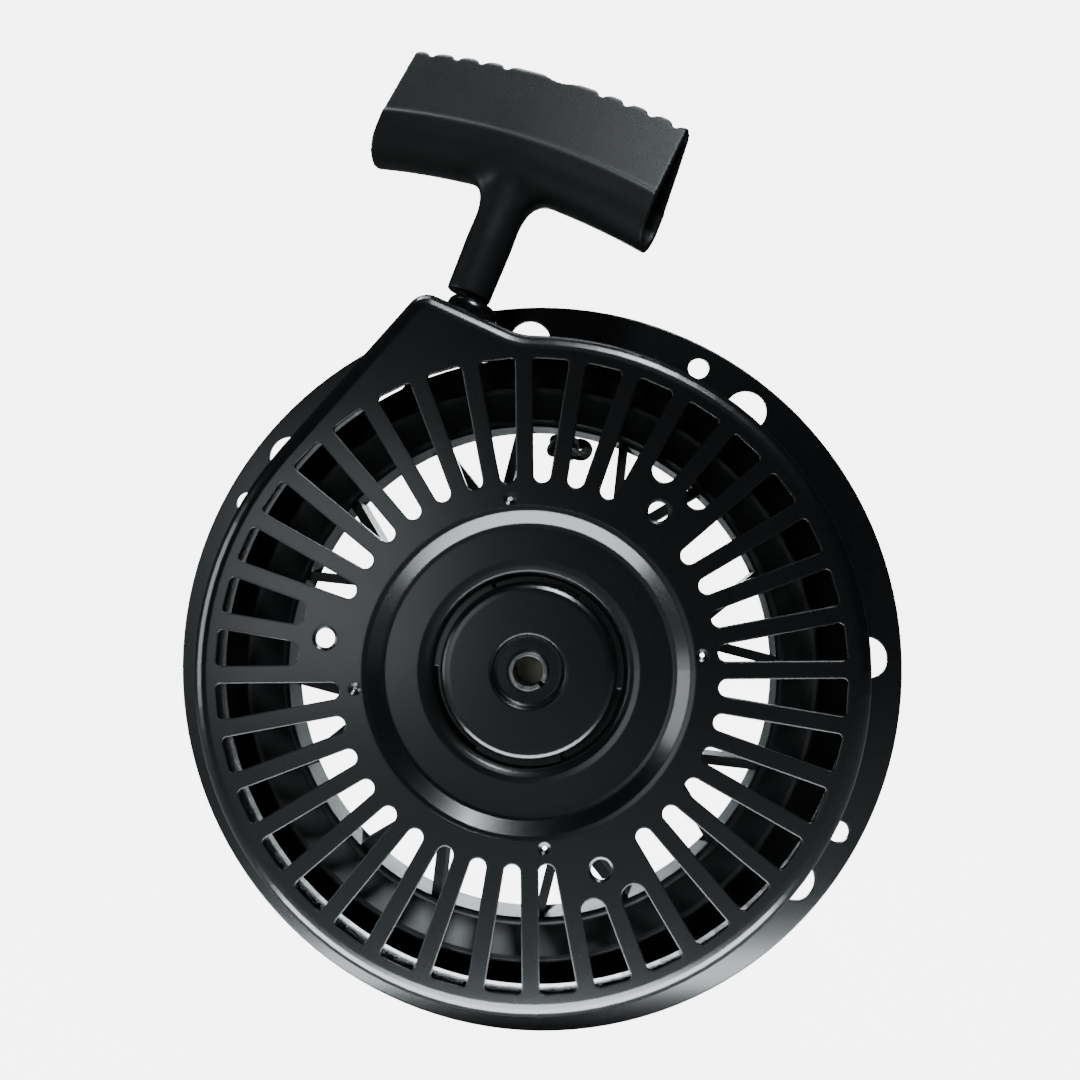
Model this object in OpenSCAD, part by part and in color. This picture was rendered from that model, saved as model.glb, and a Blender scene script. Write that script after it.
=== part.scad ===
// Recoil starter for a small horizontal-shaft engine: a pressed steel housing that carries a rope pulley
// with its rewind spring, two starter dogs, the pull rope and a T handle.
// Millimetres. The origin is on the pulley's axis, in the flange's engine-side face. +Z is up and +Y points
// to the engine, so the slotted front face looks along -Y.

/* [Housing] */
// Outside diameter of the mounting flange
flange_d = 246; // [244:1:256]
// Outside diameter of the round pan wall
pan_d = 207; // [206:0.5:208]
// Depth from the flange's engine side to the front face
pan_depth = 50; // [49:0.5:54]
// Thickness of the pressed sheet
sheet = 1.6; // [1.4:0.1:1.8]
// Number of radial slots in the front face
slot_count = 36; // [30:3:36]
// Width of the bars left between the slots
bar_w = 5.3; // [4.8:0.1:5.8]

/* [Mounting holes] */
// Diameter of the large flange holes
large_hole_d = 14; // [12:0.5:14.5]
// Diameter of the circle through the large flange holes
large_pcd = 222.6; // [222:0.2:223.4]
// Diameter of the small flange holes
small_hole_d = 7.1; // [6.4:0.1:7.5]
// Diameter of the circle through the small flange holes
small_pcd = 231; // [230:0.5:234]

/* [Center] */
// Diameter of the split center pin
pin_d = 12.7; // [12:0.1:13]
// Diameter of the center post that the pulley turns on
post_d = 20; // [19:0.2:20.4]
// Radial clearance of the turning parts on the post
running_gap = 0.06; // [0.03:0.01:0.1]

/* [Pulley and rope] */
// Diameter of the pull rope
rope_d = 3.6; // [3.2:0.1:3.6]
// Radius of the bottom of the rope groove
groove_r = 79.5; // [79:0.1:80]
// Number of V-shaped strut pairs in the pulley
strut_pairs = 8; // [6:1:8]

/* [Handle] */
// Length of the grip from end to end
grip_len = 97; // [90:1:100]
// Width of the grip across its round lower part
grip_d = 20; // [19:0.5:22]
// Height of the grip from its round underside to its crest
grip_h = 40.4; // [38:0.2:42]
// Length of the stem below the grip
stem_len = 36; // [32:1:40]

/* [Hidden] */
$fn = 96;

// --- housing outline, as seen from the front ---
pan_r = pan_d / 2;
foot_bend = 1.5;
rim_bend = 5;
nose_left_dir = 137.6;
nose_left_dist = pan_r;
nose_right_dir = 64;
nose_right_dist = 92.7;
nose_tip_r = 7;
nose_blend_r = 20;

// --- front face ---
slot_in = 57.5;
slot_in_short = 70;
slot_out = 95.5;
slot_corner = 1.5;
short_slots = [45, 55, 165, 175, 285, 295];
face_hole_r = 3;
face_hole_at = 62.6;
dimple_at = 52.8;
recess_edge_r = 50.5;

// --- depths along the axis, counted from the flange's engine side towards the front ---
recess_z = pan_depth - 4;
hub_z = pan_depth - 6.2;
post_top = hub_z - sheet;
post_end = 8.4;
pin_mouth = hub_z + 2;
pin_end = 12;
stem_stop = pin_mouth - 17;
rope_z = 30;

// --- pulley ---
rope_r = rope_d / 2;
rope_pitch = rope_d + 0.1;
layer_rise = 3.7;
wind_r = groove_r + rope_r + 0.7;
wind_top_r = wind_r + layer_rise;
web_z = 20.2;
web_t = 2.5;
rim_in = 76.5;
rim_front = 43;
rear_flange_r = 101.1;
case_r = 46;
case_wall = 3.3;
case_top = 39;
keeper_t = 1.5;
strut_t = 3;
strut_lateral = 14.6;
strut_phase = 11.5;
anchor_dir = 80;
hub_r = 15;
hub_end = 16.5;

// --- dogs ---
dog_at = 28;
dog_pin_r = 3;
dog_rest = -20;
dog_z = 14.8;
dog_top = 19.6;
dog_dirs = [90, 270];

// --- rope run and handle ---
pull_dir = 67.5;
pull_base = [-21.84, 113.83];
grommet_along = 66.5;
grommet_r = 8.5;
grommet_h = 6.2;
grommet_round = 3.4;
grommet_bore_r = 5.5;
seat_h = 6.9;
turn_about_stem = -10.5;
run_bend_r = 14;
grip_arc_r = 240;
grip_wall = 2.4;
crease_h = 16.4;
crest_half = 3.6;
stem_r = 7.3;
flare_r = 8;
flare_w = 9;
stem_top_wall = 7;
washer_t = 1.2;
washer_top = stem_len + stem_top_wall - 3 + washer_t;
rib_pitch = 7.6;
rib_r = 3.2;
rib_depth = 2;
rib_gaps_at = [-36.6, -29, -21.4, -13.8, 15.4, 23, 30.6, 38.2];
dip_at = 2.6;
dip_depth = 1.8;
dip_r = 12.6;

function polar(r, a) = [r * cos(a), r * sin(a)];
function unit(v) = v / norm(v);
// Point at given distances from the origin along two directions
function crossing(a1, d1, a2, d2) =
    let (k = sin(a2 - a1))
    [(d1 * sin(a2) - d2 * sin(a1)) / k, (d2 * cos(a1) - d1 * cos(a2)) / k];

tip_c = crossing(nose_left_dir, nose_left_dist - nose_tip_r, nose_right_dir, nose_right_dist - nose_tip_r);
blend_n = nose_right_dist + nose_blend_r;
blend_t = sqrt(pow(pan_r + nose_blend_r, 2) - blend_n * blend_n);
blend_c = polar(blend_n, nose_right_dir) + polar(blend_t, nose_right_dir + 90);
blend_dir = atan2(blend_c[1], blend_c[0]);

grommet_at = polar(nose_right_dist + 0.02, nose_right_dir) + polar(grommet_along, nose_right_dir + 90);

// --- rope run: straight off the winding, one bend in the grommet, then along the pull axis ---
pull_u = polar(1, pull_dir);
run_corner = pull_base - 4 * pull_u;
leave_dir = atan2(run_corner[1], run_corner[0]) + acos(wind_top_r / norm(run_corner));
leave_at = polar(wind_top_r, leave_dir);
run_u = unit(run_corner - leave_at);
run_dir = atan2(run_u[1], run_u[0]);
run_tangent = run_bend_r * tan((pull_dir - run_dir) / 2);

// Turns a model drawn as seen from the front, with z towards the viewer, into the starter's own frame
module face_front() rotate([90, 0, 0]) children();

// Frame of the pull handle: origin at the foot of the stem, z along the pull, x along the grip
module at_handle()
    face_front() translate([pull_base[0], pull_base[1], rope_z] + seat_h * [pull_u[0], pull_u[1], 0])
        rotate([0, 0, pull_dir - 90]) rotate([-90, 0, 0]) rotate([0, 0, turn_about_stem]) children();

// Frame of the rope eyelet: origin in the nose wall's outer face, z outwards
module at_grommet()
    face_front() translate([grommet_at[0], grommet_at[1], rope_z]) rotate([0, 0, nose_right_dir - 90])
        rotate([-90, 0, 0]) children();

// Ring with a rectangular section
module ring(r_out, r_in, z0, z1)
    difference() {
        translate([0, 0, z0]) cylinder(r = r_out, h = z1 - z0);
        translate([0, 0, z0 - 1]) cylinder(r = r_in, h = z1 - z0 + 2);
    }

function arc(c, r, a0, a1, steps) = [for (i = [0:steps]) c + polar(r, a0 + (a1 - a0) * i / steps)];

// Outline of the pan wall moved outwards by d: round pan, straight left side, rounded tip, right side, blend
function pan_outline(d) = concat(
    arc([0, 0], pan_r + d, blend_dir, nose_left_dir - 360, 84),
    arc(tip_c, nose_tip_r + d, nose_left_dir, nose_right_dir, 8),
    [for (i = [0:5]) blend_c + polar(nose_blend_r - d, nose_right_dir + 180 + (blend_dir - nose_right_dir) * i / 6)]);

// Section of the bent sheet as outward offset and height: up the outside, then down the inside
lap = 0.5;
wall_section = concat(
    [[foot_bend + lap, sheet]],
    [for (f = [90:-30:0]) [foot_bend - foot_bend * cos(f), foot_bend + sheet - foot_bend * sin(f)]],
    [for (f = [0:18:90]) [rim_bend * cos(f) - rim_bend, pan_depth - rim_bend + rim_bend * sin(f)]],
    [[-rim_bend - lap, pan_depth], [-rim_bend - lap, pan_depth - sheet]],
    [for (f = [90:-22.5:0]) let (r = rim_bend - sheet)
        [r * cos(f) - rim_bend, pan_depth - rim_bend + r * sin(f)]],
    [for (f = [0:30:90]) let (r = foot_bend + sheet)
        [foot_bend - r * cos(f), foot_bend + sheet - r * sin(f)]],
    [[foot_bend + lap, 0]]);

// Bent sheet swept once round the pan's outline
module pan_wall() {
    m = len(wall_section);
    n = len(pan_outline(0));
    points = [for (l = wall_section) for (q = pan_outline(l[0])) [q[0], q[1], l[1]]];
    walls = [for (j = [0:m - 1], i = [0:n - 1]) let (k = (i + 1) % n, up = (j + 1) % m)
        [j * n + i, j * n + k, up * n + k, up * n + i]];
    polyhedron(points, walls, convexity = 6);
}

// Outline of one radial slot between two bars of constant width
module slot(r_in) {
    spread = 180 / slot_count;
    half = bar_w / 2 / cos(spread);
    start = (r_in * tan(spread) - half) / (1 - tan(spread));
    c = r_in + start;
    wide = slot_out * tan(spread) - half;
    near = (slot_out - slot_corner) * tan(spread) - half;
    translate([c, 0]) circle(r = start, $fn = 48);
    polygon([[c, -start], [slot_out - slot_corner, -near], [slot_out, slot_corner - wide],
        [slot_out, wide - slot_corner], [slot_out - slot_corner, near], [c, start]]);
    for (s = [-1, 1])
        translate([slot_out - slot_corner, s * (near - slot_corner)]) circle(r = slot_corner, $fn = 32);
}

// Section of the pressed center: sloping wall, flat floor, groove, raised disc and hub dish
module center_section() {
    wall_top = 49;
    floor_edge = 44.6;
    groove_z = recess_z - 3.4;
    polygon([
        [recess_edge_r + 0.3, pan_depth], [wall_top, pan_depth - 0.4], [floor_edge + 0.6, recess_z + 0.3],
        [floor_edge - 0.6, recess_z], [34, recess_z], [32.2, recess_z - 0.3], [30.8, recess_z - 1],
        [29.8, recess_z - 2], [29.2, groove_z], [27.2, groove_z], [26.9, recess_z - 1.6],
        [26.4, recess_z - 0.7], [25.4, recess_z - 0.1], [24, recess_z], [12, recess_z],
        [11.3, recess_z - 0.3], [10.7, hub_z + 0.4], [9.9, hub_z], [0, hub_z],
        [0, hub_z - sheet], [10.5, hub_z - sheet], [11.2, hub_z + 0.4 - sheet],
        [11.8, recess_z - 0.3 - sheet], [12.4, recess_z - sheet], [24, recess_z - sheet],
        [25.1, recess_z - sheet - 0.4], [25.6, groove_z - sheet], [30.6, groove_z - sheet],
        [31.4, recess_z - 2 - sheet], [32.4, recess_z - 0.9 - sheet], [34, recess_z - 0.4 - sheet],
        [floor_edge, recess_z - sheet], [floor_edge + 1.6, recess_z + 0.5 - sheet],
        [wall_top + 0.8, pan_depth - 0.5 - sheet], [recess_edge_r + 0.3, pan_depth - sheet]
    ]);
}

// Arc-shaped windows lanced in the groove around the raised disc
module arc_windows() {
    window_half = 29;
    for (a = [83.5, 205.5, 319])
        rotate([0, 0, a - window_half]) rotate_extrude(angle = 2 * window_half)
            translate([27.5, recess_z - 6]) square([1.7, 5]);
}

module flange_holes() {
    for (k = [0:3]) {
        rotate([0, 0, 0.5 + 90 * k]) translate([large_pcd / 2, 0, -1]) cylinder(d = large_hole_d, h = sheet + 2);
        rotate([0, 0, 49.6 + 90 * k]) translate([large_pcd / 2 + 0.8, 0, -1])
            cylinder(d = large_hole_d, h = sheet + 2);
        rotate([0, 0, 60.5 + 90 * k]) translate([small_pcd / 2, 0, -1]) cylinder(d = small_hole_d, h = sheet + 2);
    }
}

module face_openings() {
    first = 180 / slot_count;
    pitch = 360 / slot_count;
    for (k = [0:slot_count - 1]) {
        a = first + pitch * k;
        is_short = len([for (s = short_slots) if (abs(s - a) < pitch / 4) s]) > 0;
        rotate([0, 0, a]) translate([0, 0, pan_depth - sheet - 1]) linear_extrude(sheet + 2)
            slot(is_short ? slot_in_short : slot_in);
    }
    for (a = [50, 170, 290]) rotate([0, 0, a]) translate([face_hole_at, 0, 0]) {
        translate([0, 0, pan_depth - sheet - 1]) cylinder(r = face_hole_r, h = sheet + 2);
        translate([0, 0, pan_depth - 0.5]) cylinder(r1 = face_hole_r, r2 = face_hole_r + 0.8, h = 0.51);
    }
    for (a = [5, 95, 185, 275]) rotate([0, 0, a]) translate([dimple_at, 0, 0]) {
        translate([0, 0, pan_depth - sheet - 1]) cylinder(r = 0.7, h = sheet + 2, $fn = 24);
        translate([0, 0, pan_depth - 0.8]) cylinder(r1 = 0.7, r2 = 2, h = 0.81, $fn = 32);
    }
}

module starter_housing() color([0.10, 0.10, 0.11]) difference() {
    face_front() difference() {
        union() {
            pan_wall();
            difference() {
                cylinder(d = flange_d, h = sheet, $fn = 240);
                translate([0, 0, -1]) linear_extrude(sheet + 2) polygon(pan_outline(foot_bend + lap / 2));
            }
            translate([0, 0, pan_depth - sheet]) linear_extrude(sheet) difference() {
                polygon(pan_outline(-rim_bend - lap / 2));
                circle(r = recess_edge_r);
            }
            rotate_extrude($fn = 180) center_section();
        }
        flange_holes();
        face_openings();
        arc_windows();
        translate([0, 0, post_top - 1]) cylinder(d = pin_d + 0.1, h = sheet + 4);
    }
    at_grommet() translate([0, 0, -6]) cylinder(r = grommet_bore_r, h = 10);
}

// Eyelet in the nose wall that the rope runs through and the stem's foot rests on
module rope_grommet() color([0.03, 0.03, 0.03]) difference() {
    at_grommet() {
        rotate_extrude() difference() {
            union() {
                square([grommet_r - grommet_round, grommet_h]);
                square([grommet_r, grommet_h - grommet_round]);
                translate([grommet_r - grommet_round, grommet_h - grommet_round])
                    circle(r = grommet_round, $fn = 64);
            }
            translate([0, -4]) square([grommet_r, 4]);
        }
        translate([0, 0, -sheet - 1]) cylinder(r = grommet_bore_r - 0.02, h = sheet + 2);
        translate([0, 0, -sheet - 2.6]) cylinder(r = 6.6, h = 2.55);
    }
    face_front() translate([pull_base[0], pull_base[1], rope_z]) rotate([0, 0, pull_dir - 90]) rotate([-90, 0, 0]) {
        translate([0, 0, -12]) cylinder(r = rope_r + 0.9, h = 30);
        translate([0, 0, -9.2]) cylinder(r1 = 5.4, r2 = rope_r + 0.9, h = 4);
        translate([0, 0, 2.6]) cylinder(r1 = rope_r + 0.9, r2 = 6.4, h = 4);
    }
}

// Sleeve fixed to the housing, with a slot that holds the spring's inner end
module center_post() color([0.55, 0.55, 0.53]) face_front()
    difference() {
        union() {
            translate([0, 0, post_end]) cylinder(d = post_d, h = post_top - post_end);
            translate([0, 0, post_top - 2]) cylinder(r = 17, h = 2);
        }
        translate([0, 0, post_end - 1]) cylinder(d = pin_d, h = post_top - post_end + 2);
        translate([post_d / 2 - 2.4, -1, 24]) cube([4, 2, 14]);
    }

// Split spring pin
module center_pin() color([0.62, 0.62, 0.64]) face_front()
    difference() {
        union() {
            translate([0, 0, pin_end]) cylinder(d = pin_d, h = pin_mouth - 1 - pin_end);
            translate([0, 0, pin_mouth - 1]) cylinder(d1 = pin_d, d2 = pin_d - 1.2, h = 1);
        }
        translate([0, 0, pin_end - 1]) cylinder(d = pin_d - 3.2, h = pin_mouth - pin_end + 2);
        rotate([0, 0, -45]) translate([0, -0.8, pin_end - 1]) cube([pin_d, 1.6, pin_mouth - pin_end + 2]);
    }

// Headed stem that the pin grips, which holds the retainer on the post
module retaining_stem() color([0.50, 0.50, 0.44]) face_front() {
    translate([0, 0, post_end - 1.2]) cylinder(d = pin_d - 3.2, h = stem_stop - post_end + 1.2);
    translate([0, 0, post_end - 3.6]) cylinder(r1 = 7.6, r2 = 9, h = 1);
    translate([0, 0, post_end - 2.6]) cylinder(r = 9, h = 1.4);
}

module stem_washer() color([0.60, 0.60, 0.60]) face_front()
    ring(14.5, pin_d / 2 - 1.6, post_end - 1.2, post_end);

// Section of the pulley's rim, with the rope groove open outwards
module rim_section() {
    polygon([
        [rim_in, web_z], [rear_flange_r, web_z], [rear_flange_r, web_z + 2], [groove_r, web_z + 2], [groove_r, rope_z + 4],
        [88.4, rim_front - 0.6], [87.6, rim_front], [86.4, rim_front - 0.3], [77.4, 35.6], [rim_in, 35.6]
    ]);
    translate([77.7, 35.8]) circle(r = 1.3, $fn = 40);
}

module pulley_struts() {
    r0 = case_r + case_wall - 1;
    r1 = rim_in + 1;
    length = norm([r1 - r0, strut_lateral]);
    lean = atan2(strut_lateral, r1 - r0);
    for (k = [0:strut_pairs - 1]) rotate([0, 0, strut_phase + 360 / strut_pairs * k])
        for (s = [-1, 1]) translate([r0, 0, web_z]) rotate([0, 0, s * lean])
            translate([-1, -strut_t / 2, 0]) cube([length + 1, strut_t, 14]);
}

module rope_pulley() color([0.16, 0.16, 0.17]) face_front()
    difference() {
        union() {
            rotate_extrude($fn = 180) rim_section();
            ring(case_r + case_wall, case_r, web_z, case_top);
            ring(case_r + case_wall, post_d / 2 + running_gap, web_z, web_z + web_t);
            ring(hub_r, post_d / 2 + running_gap, hub_end, web_z + web_t);
            intersection() {
                pulley_struts();
                ring(rim_in + 0.5, case_r + 1, web_z, rim_front);
            }
            for (a = dog_dirs) rotate([0, 0, a]) translate([dog_at, 0, dog_z - 0.4])
                cylinder(r = dog_pin_r, h = web_z - dog_z + 1);
        }
        translate([0, 0, case_top - keeper_t]) cylinder(r = case_r + 1.2, h = 2);
        rotate([0, 0, anchor_dir]) translate([0, 0, rope_z + rope_pitch / 2]) rotate([0, 90, 0])
            translate([0, 0, rim_in - 3]) cylinder(r = rope_r + 0.3, h = 8);
    }

// Lid over the rewind spring
module spring_keeper() color([0.35, 0.35, 0.36]) face_front()
    difference() {
        ring(case_r + 1.15, post_d / 2 + 1.2, case_top - keeper_t, case_top);
        for (a = [30, 150, 270]) rotate([0, 0, a]) translate([34, 0, case_top - keeper_t - 1])
            cylinder(r = 3.5, h = keeper_t + 2);
    }

// --- rewind spring: half turns of growing radius on alternating centers ---
spring_t = 0.6;
spring_w = 12;
loose_half_turns = 6;
loose_step = 3;
packed_half_turns = 28;
packed_step = 0.55;
function spring_r(k) = 11.2 + loose_step * min(k, loose_half_turns) + packed_step * max(0, k - loose_half_turns);
function spring_c(k) = k == 0 ? 0 :
    spring_c(k - 1) + (k % 2 == 1 ? 1 : -1) * (spring_r(k) - spring_r(k - 1));

module rewind_spring() color([0.45, 0.47, 0.50]) face_front() {
    for (k = [0:loose_half_turns + packed_half_turns])
        translate([spring_c(k), 0, 24]) rotate([0, 0, k % 2 == 0 ? 0 : 180]) rotate_extrude(angle = 180)
            translate([spring_r(k) - spring_t / 2, 0]) square([spring_t, spring_w]);
    translate([post_d / 2 - 1.6, -0.3, 24]) cube([3.1, 0.6, spring_w]);
}

// --- rope ---
// Closed tube along a list of points
module tube(path, r, sides) {
    n = len(path);
    function tangent(i) = unit(path[min(i + 1, n - 1)] - path[max(i - 1, 0)]);
    function side(t) = unit(cross(t, abs(t[2]) > 0.9 ? [1, 0, 0] : [0, 0, 1]));
    points = [for (i = [0:n - 1]) let (t = tangent(i), u = side(t), v = cross(t, u))
        for (k = [0:sides - 1]) path[i] + r * (cos(360 * k / sides) * u + sin(360 * k / sides) * v)];
    walls = [for (i = [0:n - 2], k = [0:sides - 1]) let (m = (k + 1) % sides)
        [i * sides + k, i * sides + m, (i + 1) * sides + m, (i + 1) * sides + k]];
    polyhedron(points, concat([[for (k = [sides - 1:-1:0]) k]], walls,
        [[for (k = [0:sides - 1]) (n - 1) * sides + k]]), convexity = 6);
}

function coil(r, z0, z1, turns, per_turn) =
    [for (i = [0:turns * per_turn]) let (a = 360 * i / per_turn)
        [r * cos(a), r * sin(a), z0 + (z1 - z0) * i / (turns * per_turn)]];

// Turns in the order they are wound, from the knot outwards: radius and height of each
turn_r = [wind_r, wind_r, wind_r, wind_top_r, wind_top_r];
turn_z = [rope_z + rope_pitch / 2, rope_z - rope_pitch / 2, rope_z - 1.5 * rope_pitch, rope_z - rope_pitch, rope_z];
turn_step = 12;
// Wound angle from the knot to the point where the rope leaves the winding
wound = 360 * (len(turn_r) - 1) + anchor_dir + 360 - leave_dir;

// Point of the winding after turning through w degrees: each turn crosses over in its last step
function wound_at(w) =
    let (k = min(floor(w / 360), len(turn_r) - 1), m = min(k + 1, len(turn_r) - 1),
        f = max(0, w - 360 * k - 360 + turn_step) / turn_step,
        r = turn_r[k] + (turn_r[m] - turn_r[k]) * f, z = turn_z[k] + (turn_z[m] - turn_z[k]) * f)
    [r * cos(anchor_dir - w), r * sin(anchor_dir - w), z];

module rope_winding() color([0.12, 0.12, 0.12]) face_front()
    tube(concat([for (w = [0:turn_step:wound - 4]) wound_at(w)], [wound_at(wound)]), rope_r, 8);

// Short length through the rim, from the first turn to the knot
module rope_tail() color([0.12, 0.12, 0.12]) face_front() rotate([0, 0, anchor_dir])
    translate([rim_in - 1, 0, turn_z[0]]) rotate([0, 90, 0])
        cylinder(r = rope_r, h = wind_r - rim_in + 1 - rope_r, $fn = 32);

// Solid bead that a pulled-tight knot fills, with its flat foot at z = 0
module knot_bead(wide, thick)
    translate([0, 0, thick / 2]) rotate_extrude() {
        translate([wide - thick / 2, 0]) circle(r = thick / 2, $fn = 48);
        translate([0, -thick / 2]) square([wide - thick / 2, thick]);
    }

// Knot inside the pulley's rim
module pulley_knot() color([0.12, 0.12, 0.12]) face_front() rotate([0, 0, anchor_dir])
    translate([rim_in - 1, 0, turn_z[0]]) rotate([0, -90, 0]) knot_bead(8.6, 8.4);

module rope_run() color([0.12, 0.12, 0.12]) face_front() {
    bend_start = run_corner - run_tangent * run_u;
    bend_c = bend_start + run_bend_r * [-run_u[1], run_u[0]];
    route = concat([leave_at + 1.2 * run_u, leave_at + 0.5 * (bend_start - leave_at)],
        arc(bend_c, run_bend_r, run_dir - 90, pull_dir - 90, 4), [pull_base + seat_h * pull_u]);
    tube([for (q = route) [q[0], q[1], rope_z]], rope_r, 12);
}

// --- starter dogs and their springs ---
module starter_dog(dir) color([0.50, 0.50, 0.52]) face_front()
    rotate([0, 0, dir]) translate([dog_at, 0, 0]) rotate([0, 0, -90 + dog_rest])
        difference() {
            union() {
                translate([0, 0, dog_z]) cylinder(r = 5.4, h = 2.4);
                translate([0, 0, dog_z]) linear_extrude(2.4)
                    polygon([[0, -5.4], [18, -3], [24, 2], [22, 5], [0, 5.4]]);
                translate([0, 0, dog_z]) linear_extrude(dog_top - dog_z)
                    polygon([[7, -4.4], [18, -3], [24, 2], [22, 5], [7, 5.2]]);
            }
            translate([0, 0, dog_z - 1]) cylinder(r = dog_pin_r + running_gap, h = 8);
        }

module dog_spring(dir) color([0.70, 0.70, 0.72]) face_front()
    rotate([0, 0, dir]) translate([dog_at, 0, 0])
        tube(coil(4.1, 17.65, 19.5, 2.5, 16), 0.32, 8);

// Cupped plate that holds the dogs on their pins and swings them out when it lags behind the pulley
module dog_retainer() color([0.58, 0.58, 0.56]) face_front() {
    plate_z = 12.6;
    plate_top = 14.1;
    rotate_extrude() polygon([[post_d / 2 + running_gap, 8.6], [17.6, 8.6], [18.6, plate_z], [24, plate_z],
        [24, plate_top], [15.6, plate_top], [15.4, 12.2], [post_d / 2 + running_gap, 12.2]]);
    for (a = dog_dirs) rotate([0, 0, a]) {
        translate([20, -8, plate_z]) cube([13, 16, plate_top - plate_z]);
        translate([33, 0, plate_z]) cylinder(r = 8, h = plate_top - plate_z);
        rotate([0, 0, -32]) translate([19.6, 0, plate_z]) cylinder(r = 1.9, h = dog_top - plate_z - 0.6);
    }
}

module brake_spring() color([0.70, 0.70, 0.72]) face_front()
    tube(coil(12.4, 13.62, hub_end - 0.55, 2, 24), 0.45, 8);

module brake_washer() color([0.60, 0.60, 0.60]) face_front()
    ring(15, post_d / 2 + 0.3, 12.3, 13.1);

// --- handle, in its own frame ---
// Section of the grip: x across it, y up from its round underside. The upright sides end in a small step,
// above which two flat faces lean in to the crest.
module grip_section(inset) {
    side = grip_d / 2 - inset;
    step_in = side - 0.7;
    crest = crest_half - inset * 0.7;
    translate([0, grip_d / 2]) circle(r = side);
    polygon([
        [-side, grip_d / 2], [-side, crease_h - 1], [-side + 0.3, crease_h - 0.3], [-step_in, crease_h],
        [-crest, grip_h - 1.4 - inset], [1.5 - crest, grip_h - inset], [crest - 1.5, grip_h - inset],
        [crest, grip_h - 1.4 - inset], [step_in, crease_h], [side - 0.3, crease_h - 0.3],
        [side, crease_h - 1], [side, grip_d / 2]
    ]);
}

// Bar bent on a large arc, so that both ends droop towards the housing, with its ends cut square to its chord
module bent_bar(inset, length) {
    half = asin((length / 2 + 12) / grip_arc_r);
    intersection() {
        translate([0, 0, stem_len - grip_arc_r]) rotate([90, 0, 0]) rotate([0, 0, 90 - half])
            rotate_extrude(angle = 2 * half, $fn = 360)
                translate([grip_arc_r, 0]) rotate([0, 0, -90]) grip_section(inset);
        translate([-length / 2, -grip_d, stem_len - grip_h]) cube([length, 2 * grip_d, 3 * grip_h]);
    }
}

module along_crest(s)
    translate([0, 0, stem_len - grip_arc_r]) rotate([0, asin(s / grip_arc_r), 0])
        translate([0, 0, grip_arc_r + grip_h]) children();

// Cusped gap between two round finger ribs
module rib_gap()
    rotate([90, 0, 0]) linear_extrude(2 * grip_d, center = true) difference() {
        translate([-rib_pitch / 2 + 0.4, -rib_depth]) square([rib_pitch - 0.8, rib_depth + 2]);
        for (s = [-1, 1]) translate([s * rib_pitch / 2, -rib_r]) circle(r = rib_r, $fn = 40);
        for (s = [-1, 1]) translate([s * rib_pitch / 2 - rib_r, -2 * rib_r]) square([2 * rib_r, rib_r]);
    }

// Gaps between the ribs and the shallow dip for the middle finger
module finger_gaps() {
    for (u = rib_gaps_at) along_crest(u) rib_gap();
    along_crest(dip_at) translate([0, 0, dip_r - dip_depth]) rotate([90, 0, 0])
        cylinder(r = dip_r, h = 2 * grip_d, center = true);
}

// Fillets on both sides of the stem, where it meets the bar
module stem_flare() {
    reach = stem_r + 0.3 + flare_r;
    foot = stem_len + 0.6 - flare_r;
    rotate([90, 0, 0]) linear_extrude(flare_w, center = true) difference() {
        translate([0.3 - reach, foot]) square([2 * reach - 0.6, flare_r + 1.2]);
        for (s = [-1, 1]) translate([s * reach, foot]) circle(r = flare_r);
    }
}

module handle_grip() color([0.14, 0.14, 0.14]) at_handle()
    difference() {
        union() {
            difference() {
                bent_bar(0, grip_len);
                bent_bar(grip_wall, grip_len + 6);
                finger_gaps();
            }
            intersection() {
                bent_bar(1, grip_len - 4);
                translate([-9, -20, stem_len - 4]) cube([18, 40, 4 + stem_top_wall]);
            }
            cylinder(r1 = stem_r, r2 = stem_r + 0.6, h = stem_len + 2);
            stem_flare();
        }
        translate([0, 0, -1]) cylinder(r = rope_r + 0.35, h = stem_len + 20);
        translate([0, 0, stem_len + stem_top_wall - 3]) cylinder(r = 6, h = 8);
    }

module knot_washer() color([0.60, 0.60, 0.60]) at_handle()
    ring(5.9, rope_r + 0.2, stem_len + stem_top_wall - 3, washer_top);

module handle_rope() color([0.12, 0.12, 0.12]) at_handle()
    cylinder(r = rope_r, h = washer_top, $fn = 32);

module handle_knot() color([0.12, 0.12, 0.12]) at_handle()
    translate([0, 0, washer_top]) knot_bead(5.4, 5.2);

starter_housing();
rope_grommet();
center_post();
center_pin();
retaining_stem();
stem_washer();
rope_pulley();
spring_keeper();
rewind_spring();
rope_winding();
rope_tail();
pulley_knot();
rope_run();
starter_dog(dog_dirs[0]);  // starter_dog_a
starter_dog(dog_dirs[1]);  // starter_dog_b
dog_spring(dog_dirs[0]);  // dog_spring_a
dog_spring(dog_dirs[1]);  // dog_spring_b
dog_retainer();
brake_spring();
brake_washer();
handle_grip();
knot_washer();
handle_rope();
handle_knot();
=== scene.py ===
"""Recoil starter: finishes, rope and stage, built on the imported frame. Lengths are in metres."""

import math

import bmesh
import bpy
from bpy.props import FloatProperty, FloatVectorProperty, IntProperty, PointerProperty
from mathutils import Matrix, Vector


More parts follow.
